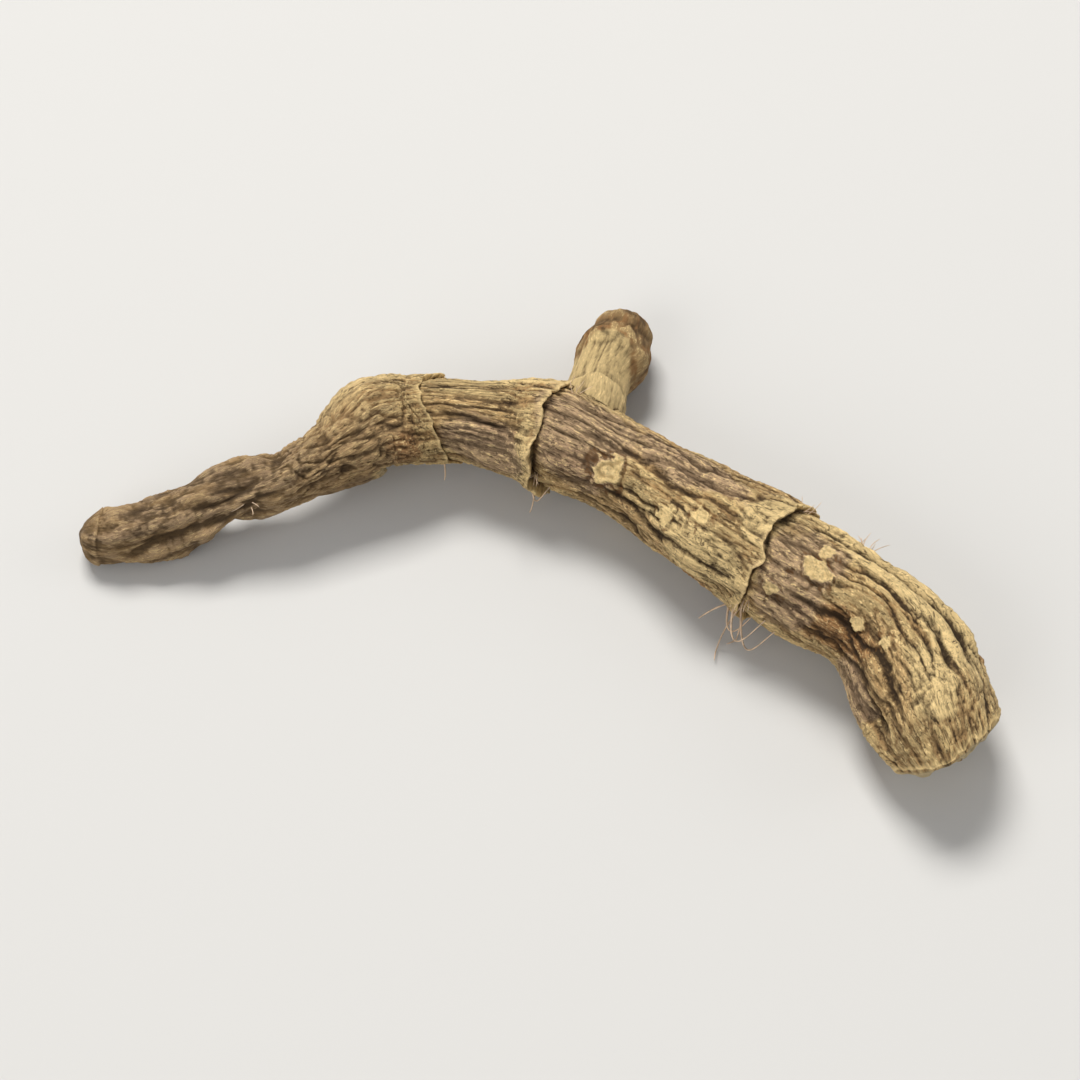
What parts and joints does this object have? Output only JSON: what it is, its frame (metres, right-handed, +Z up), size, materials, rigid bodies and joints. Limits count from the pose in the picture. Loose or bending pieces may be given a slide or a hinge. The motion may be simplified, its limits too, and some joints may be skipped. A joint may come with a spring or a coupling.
{
  "type": "sweet flag rhizome",
  "caption": "Dried sweet flag rhizome lying on its side: a ridged, bow-shaped creeping stem with sheath collars, root scars, a short side shoot, a thin tail and a broken thick end.",
  "frame": {"origin": "on the surface that the rhizome rests on, under the middle of its bounding box", "axes": "+X along the rhizome's longest extent from its thin tail to its broken thick end, +Y from the thick end towards the side shoot, +Z up from the surface"},
  "size_m": [0.1086, 0.0662, 0.0148],
  "materials": {
    "bark": "dry, matt, ridged skin, tan on the ridges and dark brown in the furrows"
  },
  "bodies": {
    "root": {"rhizome": "bark"}
  },
  "joints": []
}
